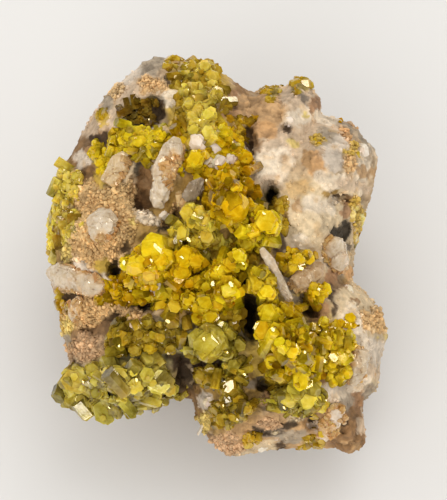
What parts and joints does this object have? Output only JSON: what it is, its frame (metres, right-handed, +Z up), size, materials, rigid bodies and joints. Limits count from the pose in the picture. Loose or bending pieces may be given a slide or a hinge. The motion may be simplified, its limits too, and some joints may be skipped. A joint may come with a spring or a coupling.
{
  "type": "pyromorphite specimen",
  "caption": "Natural lump of quartz vein rock, cut flat underneath to rest, with clusters of yellow-green pyromorphite crystals over its hollows and ledges.",
  "frame": {"origin": "centre of the bounding box, on the flat cut that the specimen rests on", "axes": "+Z up, away from the cut; the crystal-covered face looks towards -Y and up; +X to the right of that face"},
  "size_m": [0.061, 0.0694, 0.0535],
  "materials": {
    "vein_rock": "rough limonite-stained quartz rock",
    "pyromorphite": "resinous, translucent yellow to olive green",
    "quartz": "translucent milky quartz"
  },
  "bodies": {
    "root": {"matrix": "vein_rock", "pyromorphite_cluster_arch": "pyromorphite", "pyromorphite_cluster_bridge": "pyromorphite", "pyromorphite_cluster_centre": "pyromorphite", "pyromorphite_cluster_gold": "pyromorphite", "pyromorphite_cluster_green": "pyromorphite", "pyromorphite_cluster_inner_right": "pyromorphite", "pyromorphite_cluster_left_centre": "pyromorphite", "pyromorphite_cluster_low_centre": "pyromorphite", "pyromorphite_cluster_lower_left": "pyromorphite", "pyromorphite_cluster_right": "pyromorphite", "pyromorphite_cluster_upper_centre": "pyromorphite", "pyromorphite_crust_bottom": "pyromorphite", "pyromorphite_crust_left": "pyromorphite", "pyromorphite_crust_left_edge": "pyromorphite", "pyromorphite_crust_mid_left": "pyromorphite", "pyromorphite_crust_right": "pyromorphite", "pyromorphite_crust_top": "pyromorphite", "pyromorphite_crust_upper_centre": "pyromorphite", "pyromorphite_crust_upper_left": "pyromorphite", "pyromorphite_group_low_centre": "pyromorphite", "pyromorphite_group_upper_right": "pyromorphite", "pyromorphite_pair_right": "pyromorphite", "quartz_grey_prism": "quartz", "quartz_left_band": "quartz", "quartz_left_chip": "quartz", "quartz_left_knob": "quartz", "quartz_long_blade": "quartz", "quartz_lower_block": "quartz", "quartz_lower_ledge": "quartz", "quartz_right_block": "quartz", "quartz_right_corner": "quartz", "quartz_smoky_prism": "quartz", "quartz_upper_blade": "quartz", "quartz_upper_left_blade": "quartz"}
  },
  "joints": []
}
